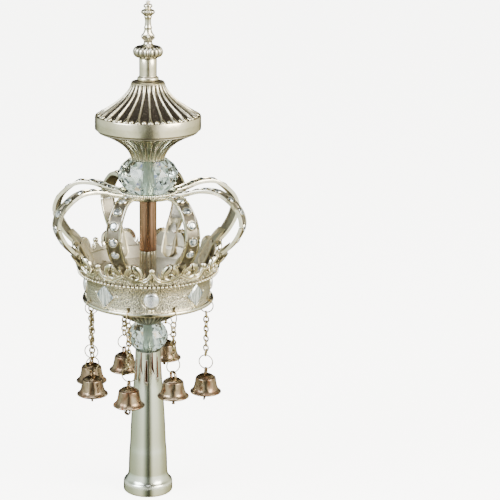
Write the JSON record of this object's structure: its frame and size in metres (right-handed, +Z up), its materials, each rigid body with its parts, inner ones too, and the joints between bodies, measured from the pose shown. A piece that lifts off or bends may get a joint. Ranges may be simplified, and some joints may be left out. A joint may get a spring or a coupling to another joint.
{
  "type": "torah finial",
  "caption": "Tall crowned finial: slotted tube stem, jewelled crown with arches, crystal beads, fluted pagoda roof and spire, with small bells hung on chains.",
  "frame": {"origin": "centre of the foot's underside", "axes": "+Z up along the stem to the spire, -Y the front, towards one of the round stones"},
  "size_m": [0.1514, 0.1514, 0.4008],
  "materials": {
    "silver_plate": "warm silver plate, softly polished, darker in the recesses",
    "copper_brown": "copper where the plate has worn off",
    "aged_bell_metal": "tarnished bell metal with orange-brown patches",
    "cut_crystal": "clear cut glass with a grey-green core",
    "pale_stone": "pale grey paste stones, polished"
  },
  "bodies": {
    "root": {"stem": "silver_plate", "crown_dish": "silver_plate", "crown_base": "silver_plate", "crown_top": "silver_plate", "column": "silver_plate", "roof_trumpet": "silver_plate", "roof": "silver_plate", "neck": "silver_plate", "spire": "silver_plate", "rod": "copper_brown", "lower_crystal": "cut_crystal", "upper_crystal": "cut_crystal", "cabochon_front": "pale_stone", "cabochon_right": "pale_stone", "cabochon_back": "pale_stone", "cabochon_left": "pale_stone", "diamond_front_right": "pale_stone", "diamond_back_right": "pale_stone", "diamond_back_left": "pale_stone", "diamond_front_left": "pale_stone", "chain_front_left": "aged_bell_metal", "bell_front_left": "aged_bell_metal", "clapper_front_left": "aged_bell_metal", "chain_front_right": "aged_bell_metal", "bell_front_right": "aged_bell_metal", "clapper_front_right": "aged_bell_metal", "chain_left_front": "aged_bell_metal", "bell_left_front": "aged_bell_metal", "clapper_left_front": "aged_bell_metal", "chain_left_back": "aged_bell_metal", "bell_left_back": "aged_bell_metal", "clapper_left_back": "aged_bell_metal", "chain_right_front": "aged_bell_metal", "bell_right_front": "aged_bell_metal", "clapper_right_front": "aged_bell_metal", "chain_back_left": "aged_bell_metal", "bell_back_left": "aged_bell_metal", "clapper_back_left": "aged_bell_metal", "chain_back_right": "aged_bell_metal", "bell_back_right": "aged_bell_metal", "clapper_back_right": "aged_bell_metal"}
  },
  "joints": []
}
